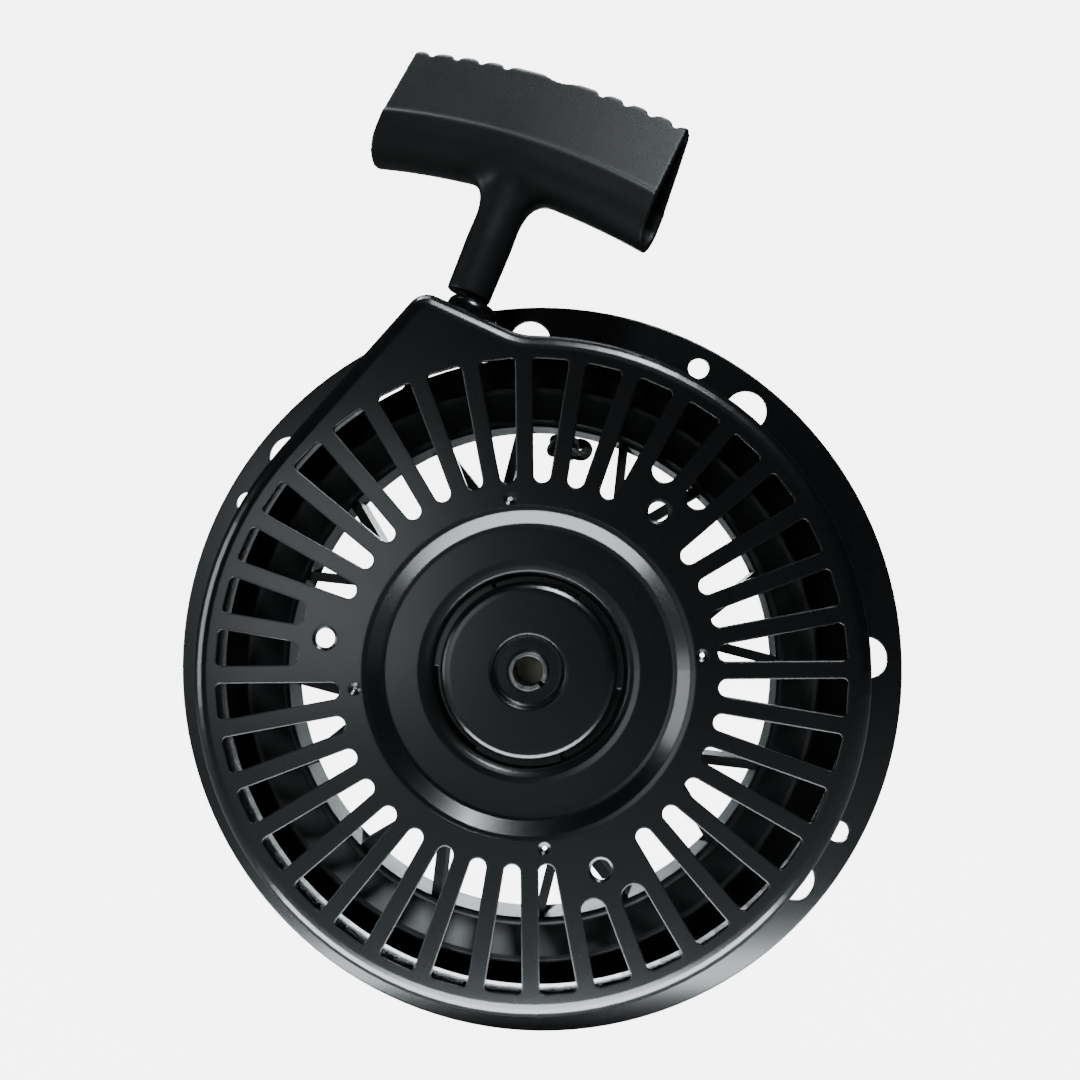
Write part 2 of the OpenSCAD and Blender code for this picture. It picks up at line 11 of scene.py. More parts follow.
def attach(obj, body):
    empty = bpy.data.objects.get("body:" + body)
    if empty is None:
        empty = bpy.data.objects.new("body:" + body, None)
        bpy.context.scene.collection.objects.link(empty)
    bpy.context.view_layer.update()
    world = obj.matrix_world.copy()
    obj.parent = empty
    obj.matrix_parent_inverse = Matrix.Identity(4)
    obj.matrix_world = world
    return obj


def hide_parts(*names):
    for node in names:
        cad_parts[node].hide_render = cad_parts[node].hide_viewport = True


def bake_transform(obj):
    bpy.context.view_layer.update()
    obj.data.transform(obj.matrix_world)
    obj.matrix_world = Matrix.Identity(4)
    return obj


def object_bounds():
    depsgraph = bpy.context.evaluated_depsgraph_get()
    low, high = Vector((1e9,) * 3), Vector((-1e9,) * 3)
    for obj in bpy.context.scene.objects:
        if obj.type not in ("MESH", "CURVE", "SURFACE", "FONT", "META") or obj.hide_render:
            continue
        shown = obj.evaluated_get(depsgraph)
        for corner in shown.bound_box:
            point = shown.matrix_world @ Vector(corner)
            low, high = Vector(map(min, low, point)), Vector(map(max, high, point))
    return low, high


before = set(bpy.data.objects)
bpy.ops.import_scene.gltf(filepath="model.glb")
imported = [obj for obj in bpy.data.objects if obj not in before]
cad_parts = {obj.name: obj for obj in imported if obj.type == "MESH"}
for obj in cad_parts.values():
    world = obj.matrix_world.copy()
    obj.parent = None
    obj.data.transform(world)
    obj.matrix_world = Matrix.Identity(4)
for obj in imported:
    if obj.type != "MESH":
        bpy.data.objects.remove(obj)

bl_info = {
    "name": "Recoil starter",
    "version": (1, 0, 0),
    "blender": (4, 5, 0),
    "location": "View3D > Sidebar > Recoil starter",
    "description": "Finishes a recoil starter's metal, resin and rope, and sets it on a studio stage",
    "category": "Object",
}

MM = 0.001
CAD_LOW, CAD_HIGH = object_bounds()

# --- places that the CAD source gives, repeated here in millimetres, as seen from the front ---
# The rope leaves the drum at ROPE_PLANE above the flange. Each turn on the drum has a radius and a height.
ROPE_PLANE = 30.0
ROPE_RADIUS = 1.8
TURN_RADII = (82.0, 82.0, 82.0, 85.7, 85.7)
TURN_HEIGHTS = (31.85, 28.15, 24.45, 26.3, 30.0)
CROSSING_DEGREES = 12.0
# The knot sits against the inside of the drum's wall, at this direction and radius.
KNOT_DIRECTION = 80.0
KNOT_RADIUS = 71.2
HOLE_START = 3.0
HOLE_END = 3.2
# The pull runs from a point in the nose's wall to the stem's foot, SEAT further on.
PULL_DIRECTION = 67.5
WALL_POINT = (-21.84, 113.83)
CORNER_DEPTH = 4.0
BEND_RADIUS = 14.0
SEAT = 6.9
STEM_LENGTH = 36.0
STEM_TURN = -10.5
ROPE_PAST_STEM = 4.0
GRIP_KNOT_LIFT = 7.9

# --- the knots: size of the lobes, radius of their strand in millimetres, and rings round the path ---
RIM_KNOT = (2.15, 1.75, 96)
GRIP_KNOT = (1.25, 1.45, 72)

# --- the grip's skin: voxel size and the reach of the flare's smoothing in millimetres, and passes ---
GRIP_VOXEL = 0.45
EDGE_PASSES = 8
FLARE_NEAR, FLARE_FAR = 11.0, 18.0
FLARE_PASSES = 300

# --- surfaces and stage: the paper and the world look PALE_STRENGTH bright to the camera alone ---
COAT_ROUGHNESS = 0.16
DUST_COLOUR = (0.30, 0.29, 0.27)
WHITE = (1.0, 1.0, 1.0)
BLACK = (0.0, 0.0, 0.0)
PALE_STRENGTH = 6.0
FILL_STRENGTH = 0.012
SENSOR_WIDTH = 36.0


def from_front(x, y, height):
    """A point seen from the front, with its height above the flange, in the frame's metres."""
    return Vector((x, -height, y)) * MM


def polar(radius, degrees):
    """A point on a circle about the pulley's axis."""
    a = math.radians(degrees)
    return Vector((radius * math.cos(a), radius * math.sin(a)))


# --- settings that a user would change ---
class StarterFinish(bpy.types.PropertyGroup):
    """Colours and roughness of the starter's finishes"""

    paint: FloatVectorProperty(
        name="Paint", description="Colour of the pressed steel's paint", subtype="COLOR",
        size=3, min=0.0, max=1.0, default=(0.0028, 0.0030, 0.0034))
    paint_roughness: FloatProperty(
        name="Paint roughness", description="Mean roughness of the paint", min=0.05, max=1.0, default=0.26)
    resin: FloatVectorProperty(
        name="Grip resin", description="Colour of the moulded grip", subtype="COLOR",
        size=3, min=0.0, max=1.0, default=(0.0060, 0.0064, 0.0070))
    resin_roughness: FloatProperty(
        name="Resin roughness", description="Mean roughness of the grip", min=0.05, max=1.0, default=0.46)
    pulley: FloatVectorProperty(
        name="Pulley resin", description="Colour of the rope pulley", subtype="COLOR",
        size=3, min=0.0, max=1.0, default=(0.0070, 0.0074, 0.0080))
    rubber: FloatVectorProperty(
        name="Rubber", description="Colour of the rope eyelet", subtype="COLOR",
        size=3, min=0.0, max=1.0, default=(0.0030, 0.0032, 0.0035))
    rope: FloatVectorProperty(
        name="Rope", description="Colour of the braided rope", subtype="COLOR",
        size=3, min=0.0, max=1.0, default=(0.0080, 0.0080, 0.0080))
    steel: FloatVectorProperty(
        name="Bright steel", description="Colour of the pin and springs", subtype="COLOR",
        size=3, min=0.0, max=1.0, default=(0.56, 0.57, 0.58))
    zinc: FloatVectorProperty(
        name="Zinc plate", description="Colour of the plated parts", subtype="COLOR",
        size=3, min=0.0, max=1.0, default=(0.42, 0.40, 0.31))


class StarterRope(bpy.types.PropertyGroup):
    """How finely the rope is built"""

    sides: IntProperty(
        name="Sides", description="Sides of the rope's round section", min=6, max=32, default=14)
    ring_angle: FloatProperty(
        name="Ring angle", description="Degrees of turn between rings on the drum",
        min=1.0, max=12.0, default=3.0)
    strands: IntProperty(
        name="Strands", description="Strands that cross round the braid", min=4, max=24, default=8)
    braid_pitch: FloatProperty(
        name="Braid pitch", description="Length of one crossing of the braid", unit="LENGTH",
        min=0.0005, max=0.02, default=0.0024)


class StarterStage(bpy.types.PropertyGroup):
    """Camera, lights and floor"""

    lens: FloatProperty(
        name="Lens", description="Focal length in millimetres", min=10.0, max=200.0, default=40.17)
    camera_place: FloatVectorProperty(
        name="Camera place", description="Where the camera stands", subtype="TRANSLATION",
        unit="LENGTH", size=3, default=(0.02409, -0.41399, 0.02134))
    camera_target: FloatVectorProperty(
        name="Camera target", description="The point at the middle of the picture", subtype="TRANSLATION",
        unit="LENGTH", size=3, default=(0.00434, -0.050, 0.03984))
    camera_roll: FloatProperty(
        name="Camera roll", description="Tilt of the camera about its own axis", subtype="ANGLE",
        default=-0.0115)
    floor_gap: FloatProperty(
        name="Floor gap", description="Height of the flange's edge above the floor", unit="LENGTH",
        min=0.0, max=0.1, default=0.004)


# --- shader building ---
class Nodes:
    """A short way to add and join shader nodes in a node tree"""

    def __init__(self, tree):
        self.tree = tree

    def add(self, kind, **values):
        node = self.tree.nodes.new(kind)
        for key, value in values.items():
            setattr(node, key, value)
        return node

    def join(self, source, target):
        self.tree.links.new(source, target)

    def math(self, operation, a, b=None, clamp=False):
        """Math node whose inputs are numbers or sockets, as its output socket."""
        node = self.add("ShaderNodeMath", operation=operation, use_clamp=clamp)
        for socket, value in zip(node.inputs, (a, b)):
            if value is None:
                continue
            if isinstance(value, (int, float)):
                socket.default_value = value
            else:
                self.join(value, socket)
        return node.outputs[0]

    def spread(self, value, low, high, new_low, new_high):
        """Map Range node, as its output socket."""
        node = self.add("ShaderNodeMapRange")
        for key, number in (("From Min", low), ("From Max", high), ("To Min", new_low), ("To Max", new_high)):
            if isinstance(number, (int, float)):
                node.inputs[key].default_value = number
            else:
                self.join(number, node.inputs[key])
        self.join(value, node.inputs["Value"])
        return node.outputs["Result"]


def make_group(name, inputs, outputs, build):
    """Shader node group with number inputs (name, default) and outputs (name, type), filled by build."""
    if name in bpy.data.node_groups:
        return bpy.data.node_groups[name]
    tree = bpy.data.node_groups.new(name, "ShaderNodeTree")
    for label, default in inputs:
        socket = tree.interface.new_socket(name=label, in_out="INPUT", socket_type="NodeSocketFloat")
        socket.default_value = default
    for label, kind in outputs:
        tree.interface.new_socket(name=label, in_out="OUTPUT", socket_type=kind)
    nodes = Nodes(tree)
    build(nodes, nodes.add("NodeGroupInput").outputs, nodes.add("NodeGroupOutput").inputs)
    return tree


def object_noise(nodes, scale, detail=4.0, roughness=0.55):
    """Noise fixed to the piece, as its value socket."""
    place = nodes.add("ShaderNodeTexCoord")
    noise = nodes.add("ShaderNodeTexNoise")
    noise.inputs["Detail"].default_value = detail
    noise.inputs["Roughness"].default_value = roughness
    nodes.join(place.outputs["Object"], noise.inputs["Vector"])
    if isinstance(scale, (int, float)):
        noise.inputs["Scale"].default_value = scale
    else:
        nodes.join(scale, noise.inputs["Scale"])
    return noise.outputs["Fac"]


def mottle_group():
    """Slow variation over a surface, between two values."""
    def build(nodes, given, out):
        wide = object_noise(nodes, given["Scale"], 3.0)
        fine = object_noise(nodes, nodes.math("MULTIPLY", given["Scale"], 11.0), 2.0)
        mixed = nodes.math("ADD", nodes.math("MULTIPLY", wide, 0.7), nodes.math("MULTIPLY", fine, 0.3))
        nodes.join(nodes.spread(mixed, 0.3, 0.7, given["Low"], given["High"]), out["Value"])
    return make_group("surface_mottle", [("Scale", 20.0), ("Low", 0.3), ("High", 0.5)],
                      [("Value", "NodeSocketFloat")], build)


def grain_group():
    """Height of a fine grain, such as a moulded texture or sprayed paint."""
    def build(nodes, given, out):
        coarse = object_noise(nodes, given["Scale"], 2.0)
        fine = object_noise(nodes, nodes.math("MULTIPLY", given["Scale"], 3.7), 1.0)
        height = nodes.math("ADD", coarse, nodes.math("MULTIPLY", fine, 0.4))
        nodes.join(nodes.math("MULTIPLY", height, given["Depth"]), out["Height"])
    return make_group("surface_grain", [("Scale", 900.0), ("Depth", 1.0)],
                      [("Height", "NodeSocketFloat")], build)


def edge_group():
    """Mask of the outer edges, broken up so that the lightening is uneven; on the pin it paints a highlight
    along the rim.
    """
    def build(nodes, given, out):
        sharp = nodes.add("ShaderNodeNewGeometry").outputs["Pointiness"]
        edge = nodes.spread(sharp, given["From"], given["To"], 0.0, 1.0)
        broken = nodes.spread(object_noise(nodes, 240.0), 0.35, 0.6, 0.0, 1.0)
        nodes.join(nodes.math("MULTIPLY", edge, broken, clamp=True), out["Mask"])
    return make_group("edge_mask", [("From", 0.52), ("To", 0.60)], [("Mask", "NodeSocketFloat")], build)


def dust_group():
    """Mask of fine dust that gathers on upward faces."""
    def build(nodes, given, out):
        normal = nodes.add("ShaderNodeNewGeometry").outputs["Normal"]
        split = nodes.add("ShaderNodeSeparateXYZ")
        nodes.join(normal, split.inputs[0])
        up = nodes.spread(split.outputs["Z"], 0.2, 1.0, 0.0, 1.0)
        cloudy = nodes.spread(object_noise(nodes, 60.0, 6.0), 0.4, 0.75, 0.0, 1.0)
        nodes.join(nodes.math("MULTIPLY", nodes.math("MULTIPLY", up, cloudy), given["Amount"]), out["Mask"])
    return make_group("settled_dust", [("Amount", 0.5)], [("Mask", "NodeSocketFloat")], build)


def place_group(nodes, tree, **values):
    """Places a node group in a material with its own values."""
    node = nodes.add("ShaderNodeGroup", node_tree=tree)
    for key, value in values.items():
        node.inputs[key].default_value = value
    return node.outputs[0]


def new_material(name):
    """Empty node material, as (material, node helper, shader)."""
    material = bpy.data.materials.new(name)
    material.use_nodes = True
    nodes = Nodes(material.node_tree)
    shader = material.node_tree.nodes["Principled BSDF"]
    return material, nodes, shader


def mix_colour(nodes, mask, first, second):
    """Colour that goes from first to second as mask rises."""
    mix = nodes.add("ShaderNodeMix", data_type="RGBA")
    nodes.join(mask, mix.inputs["Factor"])
    mix.inputs["A"].default_value = (*first, 1.0)
    mix.inputs["B"].default_value = (*second, 1.0)
    return mix.outputs["Result"]


def scaled(colour, factor):
    """Colour made lighter or darker."""
    return tuple(min(1.0, c * factor) for c in colour)


def finish_surface(nodes, shader, height, distance, round_edge=0.0):
    """Joins a height to the shader as a bump, over edges softened to round_edge."""
    bump = nodes.add("ShaderNodeBump")
    bump.inputs["Distance"].default_value = distance
    nodes.join(height, bump.inputs["Height"])
    if round_edge:
        bevel = nodes.add("ShaderNodeBevel", samples=6)
        bevel.inputs["Radius"].default_value = round_edge
        nodes.join(bevel.outputs["Normal"], bump.inputs["Normal"])
    nodes.join(bump.outputs["Normal"], shader.inputs["Normal"])


def coloured_surface(name, colour, roughness, grain, depth, edge_colour=None, dust=0.0,
                     metallic=0.0, coat=0.0, round_edge=0.0, mottle=18.0, specular=0.5):
    """Material with mottled roughness (lowest, highest), grain, lighter edges and a little dust.

    grain and mottle are noise scales per metre; depth and round_edge are lengths in metres.
    """
    material, nodes, shader = new_material(name)
    shader.inputs["Metallic"].default_value = metallic
    shader.inputs["Coat Weight"].default_value = coat
    shader.inputs["Coat Roughness"].default_value = COAT_ROUGHNESS
    shader.inputs["Specular IOR Level"].default_value = specular
    shade = place_group(nodes, mottle_group(), Scale=mottle * 0.6, Low=0.0, High=1.0)
    base = mix_colour(nodes, shade, scaled(colour, 0.93), scaled(colour, 1.07))
    for mask_tree, values, over in (
        (edge_group(), {}, edge_colour),
        (dust_group(), {"Amount": dust}, DUST_COLOUR if dust else None),
    ):
        if over is None:
            continue
        mix = nodes.add("ShaderNodeMix", data_type="RGBA")
        nodes.join(place_group(nodes, mask_tree, **values), mix.inputs["Factor"])
        nodes.join(base, mix.inputs["A"])
        mix.inputs["B"].default_value = (*over, 1.0)
        base = mix.outputs["Result"]
    nodes.join(base, shader.inputs["Base Color"])
    low, high = roughness
    nodes.join(place_group(nodes, mottle_group(), Scale=mottle, Low=low, High=high),
               shader.inputs["Roughness"])
    finish_surface(nodes, shader, place_group(nodes, grain_group(), Scale=grain), depth, round_edge)
    return material


def paint_material(settings):
    """Satin black paint on pressed steel."""
    r = settings.paint_roughness
    return coloured_surface("satin_black_paint", settings.paint, (r - 0.02, r + 0.03),
                            grain=900.0, depth=0.000006, coat=0.4, round_edge=0.0009)


def grip_material(settings):
    """Moulded charcoal resin with a fine matte grain."""
    r = settings.resin_roughness
    return coloured_surface("grip_resin", settings.resin, (r - 0.05, r + 0.07),
                            grain=1500.0, depth=0.00003, dust=0.003, mottle=30.0, specular=0.32)


def pulley_material(settings):
    """Black glass-filled resin of the pulley."""
    return coloured_surface("pulley_resin", settings.pulley, (0.36, 0.50),
                            grain=1100.0, depth=0.00003, dust=0.006, round_edge=0.0004, specular=0.4)


def rubber_material(settings):
    """Smooth glossy black rubber."""
    return coloured_surface("eyelet_rubber", settings.rubber, (0.16, 0.26), grain=1300.0, depth=0.000008)


def steel_material(name, colour, roughness, round_edge=0.0002, edge=1.25):
    """Bare or plated metal, whose edges are lighter by the factor edge."""
    return coloured_surface(name, colour, roughness, grain=1800.0, depth=0.000006, metallic=1.0,
                            edge_colour=scaled(colour, edge), round_edge=round_edge, mottle=60.0)


def braid_group():
    """Height of a round braid, from the rope's own map: across its section and along its length."""
    def build(nodes, given, out):
        split = nodes.add("ShaderNodeSeparateXYZ")
        nodes.join(nodes.add("ShaderNodeUVMap", uv_map="rope_map").outputs["UV"], split.inputs[0])
        around = nodes.math("MULTIPLY", split.outputs["X"], given["Strands"])
        along = nodes.math("DIVIDE", split.outputs["Y"], given["Pitch"])
        waves = []
        for operation in ("ADD", "SUBTRACT"):
            turn = nodes.math("MULTIPLY", nodes.math(operation, around, along), math.pi)
            waves.append(nodes.math("ABSOLUTE", nodes.math("SINE", turn)))
        weave = nodes.math("MULTIPLY", waves[0], waves[1])
        fibre = nodes.math("MULTIPLY", object_noise(nodes, 2600.0, 2.0), 0.25)
        nodes.join(nodes.math("ADD", weave, fibre), out["Height"])
    return make_group("rope_braid", [("Strands", 8.0), ("Pitch", 0.0024)],
                      [("Height", "NodeSocketFloat")], build)


def rope_material(settings, rope):
    """Braided nylon, made once and shared by all of the rope's pieces."""
    if "braided_rope" in bpy.data.materials:
        return bpy.data.materials["braided_rope"]
    material, nodes, shader = new_material("braided_rope")
    height = place_group(nodes, braid_group(), Strands=float(rope.strands), Pitch=rope.braid_pitch)
    # Darker in the braid's hollows and lighter on its crests: painted shade and painted highlight that follow
    # the weave's height.
    nodes.join(mix_colour(nodes, height, scaled(settings.rope, 0.45), scaled(settings.rope, 1.6)),
               shader.inputs["Base Color"])
    nodes.join(nodes.spread(height, 0.0, 1.0, 0.75, 0.5), shader.inputs["Roughness"])
    shader.inputs["Sheen Weight"].default_value = 0.3
    finish_surface(nodes, shader, height, 0.00025)
    return material


def paper_material():
    """Pale seamless paper that looks bright to the camera without lighting the starter."""
    material, nodes, shader = new_material("pale_paper")
    shade = place_group(nodes, mottle_group(), Scale=3.0, Low=0.0, High=1.0)
    nodes.join(mix_colour(nodes, shade, (0.17, 0.17, 0.17), (0.19, 0.19, 0.188)), shader.inputs["Base Color"])
    shader.inputs["Roughness"].default_value = 0.9
    seen = nodes.add("ShaderNodeLightPath").outputs["Is Camera Ray"]
    nodes.join(mix_colour(nodes, seen, BLACK, WHITE), shader.inputs["Emission Color"])
    shader.inputs["Emission Strength"].default_value = PALE_STRENGTH
    return material


def paint_nodes(material, *names):
    """Gives CAD nodes a material."""
    for name in names:
        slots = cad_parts[name].data.materials
        slots.clear()
        slots.append(material)


# --- mesh building ---
def link(name, mesh, material):
    """New object for a mesh, with its material."""
    piece = bpy.data.objects.new(name, mesh)
    bpy.context.scene.collection.objects.link(piece)
    mesh.materials.append(material)
    return piece


def tube_mesh(name, path, radius, sides, closed=False):
    """Tube along a path, with a map whose first axis runs round it and whose second is its length."""
    bm = bmesh.new()
    layer = bm.loops.layers.uv.new("rope_map")
    count = len(path)
    rings, lengths, travelled = [], [], 0.0
    side = None
    for i, p in enumerate(path):
        before = path[i - 1] if (i or closed) else path[0]
        after = path[(i + 1) % count] if (i < count - 1 or closed) else path[-1]
        along = (after - before).normalized()
        if side is None:
            side = along.orthogonal().normalized()
        side = (side - along * side.dot(along)).normalized()
        up = along.cross(side)
        ring = []
        for k in range(sides):
            a = 2 * math.pi * k / sides
            ring.append(bm.verts.new(p + radius * (math.cos(a) * side + math.sin(a) * up)))
        rings.append(ring)
        travelled += (p - path[i - 1]).length if i else 0.0
        lengths.append(travelled)
    spans = count if closed else count - 1
    for i in range(spans):
        low, high = rings[i], rings[(i + 1) % count]
        ends = (lengths[i], lengths[i + 1] if i + 1 < count else lengths[i] + (path[0] - path[-1]).length)
        for k in range(sides):
            m = (k + 1) % sides
            face = bm.faces.new((low[k], low[m], high[m], high[k]))
            face.smooth = True
            for loop, (u, v) in zip(face.loops, ((k, 0), (k + 1, 0), (k + 1, 1), (k, 1))):
                loop[layer].uv = (u / sides, ends[v])
    if not closed:
        bm.faces.new(reversed(rings[0]))
        bm.faces.new(rings[-1])
    mesh = bpy.data.meshes.new(name)
    bm.to_mesh(mesh)
    bm.free()
    return mesh


def stem_foot():
    """The foot of the grip's stem, on the line of the pull."""
    return Vector(WALL_POINT) + SEAT * polar(1.0, PULL_DIRECTION)


def between(a, b, steps):
    """Even steps from a to b, without a itself."""
    return [a + (b - a) * i / steps for i in range(1, steps + 1)]


def leave_point():
    """Direction in degrees at which the rope leaves the drum, and the corner that it runs to."""
    corner = Vector(WALL_POINT) - CORNER_DEPTH * polar(1.0, PULL_DIRECTION)
    turned = math.degrees(math.atan2(corner.y, corner.x) + math.acos(TURN_RADII[-1] / corner.length))
    return turned, corner


def winding_path(ring_angle):
    """Middle of the wound rope, from the knot in the rim to the point where it leaves the drum."""
    leave, _ = leave_point()
    last = len(TURN_RADII) - 1
    wound = 360.0 * last + KNOT_DIRECTION + 360.0 - leave
    hole = from_front(*polar(KNOT_RADIUS + HOLE_START, KNOT_DIRECTION), TURN_HEIGHTS[0])
    rim = from_front(*polar(TURN_RADII[0] - HOLE_END, KNOT_DIRECTION), TURN_HEIGHTS[0])
    path = [hole, (hole + rim) / 2, rim]
    w = ring_angle
    while w < wound:
        turn = min(int(w // 360), last)
        following = min(turn + 1, last)
        f = max(0.0, w - 360.0 * (turn + 1) + CROSSING_DEGREES) / CROSSING_DEGREES
        f = f * f * (3 - 2 * f)        # eases from one turn's place to the next
        radius = TURN_RADII[turn] + (TURN_RADII[following] - TURN_RADII[turn]) * f
        height = TURN_HEIGHTS[turn] + (TURN_HEIGHTS[following] - TURN_HEIGHTS[turn]) * f
        path.append(from_front(*polar(radius, KNOT_DIRECTION - w), height))
        w += ring_angle
    path.append(from_front(*polar(TURN_RADII[-1], leave), ROPE_PLANE))
    return path


def run_path():
    """Middle of the rope from the drum, through the eyelet and up the stem to the knot."""
    leave, corner = leave_point()
    start = polar(TURN_RADII[-1], leave)
    run = (corner - start).normalized()
    pull = polar(1.0, PULL_DIRECTION)
    half = run.angle(pull) / 2
    reach = BEND_RADIUS * math.tan(half)
    flat = [start, *between(start, corner - run * reach, 6)]
    centre = flat[-1] + BEND_RADIUS * Vector((-run.y, run.x))
    heading = math.degrees(math.atan2(run.y, run.x)) - 90.0
    bend_steps = 8
    for i in range(1, bend_steps + 1):
        flat.append(centre + polar(BEND_RADIUS, heading + math.degrees(2 * half) * i / bend_steps))
    foot = stem_foot()
    flat += between(flat[-1], foot, 6)
    flat += between(foot, foot + pull * (STEM_LENGTH + ROPE_PAST_STEM), 5)
    return [from_front(*q, ROPE_PLANE) for q in flat]


def knot_mesh(name, knot, sides):
    """Pulled-tight overhand knot as a closed three-lobed tube, flat in the XY plane."""
    size, strand, steps = knot
    path = []
    for i in range(steps):
        t = 2 * math.pi * i / steps
        path.append(size * MM * Vector((math.sin(t) + 2 * math.sin(2 * t), math.cos(t) - 2 * math.cos(2 * t),
                                        -math.sin(3 * t))))
    return tube_mesh(name, path, strand * MM, sides, closed=True)


def handle_matrix():
    """Places the handle's own frame: origin at the stem's foot, z along the pull."""
    lean = math.radians(PULL_DIRECTION - 90.0)
    return (Matrix.Translation(from_front(*stem_foot(), ROPE_PLANE))
            @ Matrix.Rotation(-lean, 4, "Y") @ Matrix.Rotation(math.radians(STEM_TURN), 4, "Z"))


# --- operators, one for each piece or group of like pieces ---
class STARTER_OT_metal(bpy.types.Operator):
    """Finish the pressed steel, the pin, the post, the springs and the plated parts"""

    bl_idname = "starter.metal"
    bl_label = "Finish metal parts"

    def execute(self, context):
        settings = context.scene.starter_finish
        paint_nodes(paint_material(settings), "starter_housing", "spring_keeper")
        # The pin's edges are four times lighter than its dark steel: a painted highlight along its rim.
        paint_nodes(steel_material("pin_steel", scaled(settings.steel, 0.20), (0.28, 0.40), edge=4.0),
                    "center_pin")
        paint_nodes(steel_material("stem_end", scaled(settings.zinc, 0.9), (0.50, 0.65)), "retaining_stem")
        paint_nodes(steel_material("spring_steel", scaled(settings.steel, 0.5), (0.25, 0.40), round_edge=0.0),
                    "rewind_spring", "dog_spring_a", "dog_spring_b", "brake_spring")
        paint_nodes(steel_material("zinc_plate", settings.zinc, (0.26, 0.44)),
                    "center_post", "stem_washer", "dog_retainer", "starter_dog_a", "starter_dog_b",
                    "brake_washer", "knot_washer")
        return {"FINISHED"}


class STARTER_OT_moulded(bpy.types.Operator):
    """Finish the pulley and the rope's eyelet"""

    bl_idname = "starter.moulded"
    bl_label = "Finish moulded parts"

    def execute(self, context):
        settings = context.scene.starter_finish
        paint_nodes(pulley_material(settings), "rope_pulley")
        paint_nodes(rubber_material(settings), "rope_grommet")
        return {"FINISHED"}


class STARTER_OT_grip(bpy.types.Operator):
    """Mould the grip with softened edges and a smooth flare into its stem"""

    bl_idname = "starter.grip"
    bl_label = "Make grip"

    def execute(self, context):
        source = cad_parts["handle_grip"]        # read only; the new piece takes its place
        mesh = bpy.data.meshes.new_from_object(source)
        mesh.materials.clear()
        mesh.transform(source.matrix_world)
        grip = link("moulded_grip", mesh, grip_material(context.scene.starter_finish))
        remesh = grip.modifiers.new("even_skin", "REMESH")
        remesh.mode = "VOXEL"
        remesh.voxel_size = GRIP_VOXEL * MM
        remesh.use_smooth_shade = True
        soften = grip.modifiers.new("soft_edges", "SMOOTH")
        soften.factor = 0.5
        soften.iterations = EDGE_PASSES
        self.bake(context, grip)
        self.soften_flare(context, grip)
        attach(grip, "handle")
        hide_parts("handle_grip")
        return {"FINISHED"}

    def bake(self, context, grip):
        """Turns the modifiers into plain mesh."""
        evaluated = grip.evaluated_get(context.evaluated_depsgraph_get())
        grip.data = bpy.data.meshes.new_from_object(evaluated)
        grip.modifiers.clear()

    def soften_flare(self, context, grip):
        """Blends the stem into the bar by smoothing only near where they meet."""
        joint = handle_matrix() @ Vector((0, 0, (STEM_LENGTH - 1.0) * MM))
        near, far = FLARE_NEAR * MM, FLARE_FAR * MM
        group = grip.vertex_groups.new(name="flare")
        for vertex in grip.data.vertices:
            away = (vertex.co - joint).length
            if away < far:
                group.add([vertex.index], min(1.0, (far - away) / (far - near)), "REPLACE")
        blend = grip.modifiers.new("flare_blend", "SMOOTH")
        blend.vertex_group = group.name
        blend.factor = 0.5
        blend.iterations = FLARE_PASSES
        self.bake(context, grip)


class STARTER_OT_rope(bpy.types.Operator):
    """Wind the rope on the drum and run it through the eyelet to the grip"""

    bl_idname = "starter.rope"
    bl_label = "Make rope"

    def execute(self, context):
        rope = context.scene.starter_rope
        material = rope_material(context.scene.starter_finish, rope)
        radius = ROPE_RADIUS * MM
        coil = link("rope_coil", tube_mesh("rope_coil", winding_path(rope.ring_angle), radius, rope.sides),
                    material)
        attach(coil, "pulley")
        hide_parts("rope_winding", "rope_tail")
        run = link("pull_rope", tube_mesh("pull_rope", run_path(), radius, rope.sides), material)
        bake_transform(run)
        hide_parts("rope_run", "handle_rope")
        return {"FINISHED"}


class STARTER_OT_knots(bpy.types.Operator):
    """Tie the knots at both ends of the rope"""

    bl_idname = "starter.knots"
    bl_label = "Make knots"

    def execute(self, context):
        rope = context.scene.starter_rope
        material = rope_material(context.scene.starter_finish, rope)
        inside = link("rim_knot", knot_mesh("rim_knot", RIM_KNOT, rope.sides), material)
        axis = from_front(*polar(1.0, KNOT_DIRECTION), 0.0).normalized()
        turn = axis.to_track_quat("Z", "Y").to_matrix().to_4x4()
        place = from_front(*polar(KNOT_RADIUS, KNOT_DIRECTION), TURN_HEIGHTS[0])
        inside.data.transform(Matrix.Translation(place) @ turn)
        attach(inside, "pulley")
        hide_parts("pulley_knot")
        outer = link("grip_knot", knot_mesh("grip_knot", GRIP_KNOT, rope.sides), material)
        lift = Matrix.Translation(Vector((0, 0, STEM_LENGTH + GRIP_KNOT_LIFT)) * MM)
        outer.data.transform(handle_matrix() @ lift)
        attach(outer, "handle")
        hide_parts("handle_knot")
        return {"FINISHED"}


# --- lights: name, place, target, size and power in watts; none of them shows to the camera ---
LIGHT_COLOUR = (0.88, 0.96, 1.0)
LIGHTS = (
    ("top_softbox", (-0.10, 0.25, 1.0), (0.0, -0.02, 0.0), (0.8, 0.3), 9.0),
    ("high_right_softbox", (0.30, -0.60, 0.90), (0.02, -0.03, 0.12), (0.3, 0.3), 12.0),
    ("left_softbox", (-1.0, -0.20, 0.10), (0.0, -0.02, 0.0), (0.4, 0.6), 4.5),
    ("front_left_softbox", (-0.42, -1.55, 0.0), (-0.04, -0.05, -0.02), (0.35, 0.5), 1.4),
    ("low_panel", (-0.01, -0.075, -0.124), (-0.01, -0.075, 0.10), (0.26, 0.05), 0.8),
    ("back_softbox", (0.0, 1.30, 0.20), (0.0, -0.02, 0.0), (0.35, 0.35), 6.0),
)


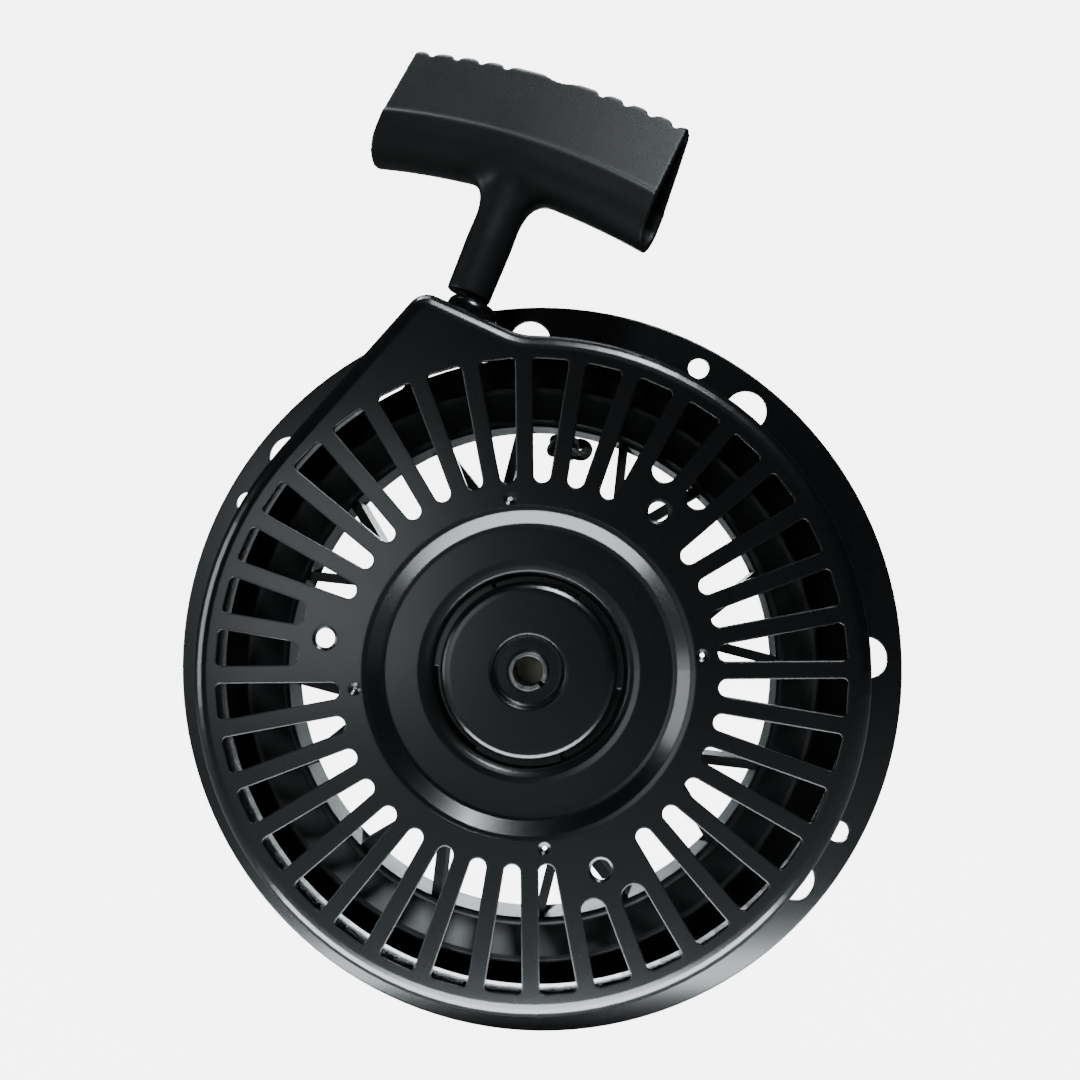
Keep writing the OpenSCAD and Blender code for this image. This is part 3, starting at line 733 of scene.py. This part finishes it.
def area_light(name, place, target, size, power):
    """Soft rectangular light that faces a target."""
    data = bpy.data.lights.new(name, "AREA")
    data.shape = "RECTANGLE"
    data.size, data.size_y = size
    data.energy = power
    data.color = LIGHT_COLOUR
    light = bpy.data.objects.new(name, data)
    bpy.context.scene.collection.objects.link(light)
    light.location = place
    light.visible_camera = False
    light.rotation_euler = (Vector(target) - Vector(place)).to_track_quat("-Z", "Y").to_euler()


class STARTER_OT_stage(bpy.types.Operator):
    """Set the camera, the soft lights and the pale floor"""

    bl_idname = "starter.stage"
    bl_label = "Make stage"

    def execute(self, context):
        stage = context.scene.starter_stage
        self.camera(context.scene, stage)
        self.surroundings(context.scene)
        for name, place, target, size, power in LIGHTS:
            area_light(name, place, target, size, power)
        self.sweep(CAD_LOW.z - stage.floor_gap)
        return {"FINISHED"}

    def sweep(self, level):
        """Paper that lies on the floor and curves up behind the starter."""
        half_width, front, bend_at, bend, height = 5.0, -4.0, 1.0, 1.2, 4.0
        bend_steps = 12
        profile = [(front, level)]
        profile += [(bend_at + bend * math.sin(a), level + bend * (1 - math.cos(a)))
                    for a in (math.radians(90.0 * i / bend_steps) for i in range(bend_steps + 1))]
        profile.append((bend_at + bend, height))
        points = [(x, y, z) for y, z in profile for x in (-half_width, half_width)]
        faces = [(2 * i, 2 * i + 1, 2 * i + 3, 2 * i + 2) for i in range(len(profile) - 1)]
        mesh = bpy.data.meshes.new("studio_paper")
        mesh.from_pydata(points, [], faces)
        mesh.shade_smooth()
        return link("studio_paper", mesh, paper_material())

    def camera(self, scene, stage):
        """Camera aimed at its target, then rolled."""
        data = bpy.data.cameras.new("camera")
        data.sensor_width = SENSOR_WIDTH
        data.lens = stage.lens
        data.clip_start = 0.01
        camera = bpy.data.objects.new("camera", data)
        scene.collection.objects.link(camera)
        place, target = Vector(stage.camera_place), Vector(stage.camera_target)
        aim = (target - place).to_track_quat("-Z", "Y").to_matrix().to_4x4()
        camera.matrix_world = Matrix.Translation(place) @ aim @ Matrix.Rotation(stage.camera_roll, 4, "Z")
        scene.camera = camera

    def surroundings(self, scene):
        """Dim even light from all round, seen by the camera as the same pale tone as the paper."""
        world = bpy.data.worlds.new("studio")
        world.use_nodes = True
        tree = world.node_tree
        fill = tree.nodes["Background"]
        fill.inputs["Color"].default_value = (0.90, 0.95, 1.0, 1.0)
        fill.inputs["Strength"].default_value = FILL_STRENGTH
        pale = tree.nodes.new("ShaderNodeBackground")
        pale.inputs["Color"].default_value = (*WHITE, 1.0)
        pale.inputs["Strength"].default_value = PALE_STRENGTH
        seen = tree.nodes.new("ShaderNodeLightPath")
        either = tree.nodes.new("ShaderNodeMixShader")
        tree.links.new(seen.outputs["Is Camera Ray"], either.inputs[0])
        tree.links.new(fill.outputs[0], either.inputs[1])
        tree.links.new(pale.outputs[0], either.inputs[2])
        tree.links.new(either.outputs[0], tree.nodes["World Output"].inputs["Surface"])
        scene.world = world


class STARTER_PT_panel(bpy.types.Panel):
    """Lists the starter's pieces and settings"""

    bl_idname = "STARTER_PT_panel"
    bl_label = "Recoil starter"
    bl_space_type = "VIEW_3D"
    bl_region_type = "UI"
    bl_category = "Recoil starter"

    def draw(self, context):
        layout = self.layout
        for operator in OPERATORS:
            layout.operator(operator.bl_idname)
        for group in ("starter_finish", "starter_rope", "starter_stage"):
            settings = getattr(context.scene, group)
            for key in settings.__annotations__:
                layout.prop(settings, key)


SETTINGS = {"starter_finish": StarterFinish, "starter_rope": StarterRope, "starter_stage": StarterStage}
OPERATORS = (STARTER_OT_stage, STARTER_OT_metal, STARTER_OT_moulded, STARTER_OT_grip, STARTER_OT_rope,
             STARTER_OT_knots)


def register():
    for cls in (*SETTINGS.values(), *OPERATORS, STARTER_PT_panel):
        bpy.utils.register_class(cls)
    for name, cls in SETTINGS.items():
        setattr(bpy.types.Scene, name, PointerProperty(type=cls))


def unregister():
    for name in SETTINGS:
        delattr(bpy.types.Scene, name)
    for cls in reversed((*SETTINGS.values(), *OPERATORS, STARTER_PT_panel)):
        bpy.utils.unregister_class(cls)


def main():
    register()
    bpy.ops.starter.stage()
    bpy.ops.starter.metal()
    bpy.ops.starter.moulded()
    bpy.ops.starter.grip()
    bpy.ops.starter.rope()
    bpy.ops.starter.knots()


if __name__ == "__main__":
    main()
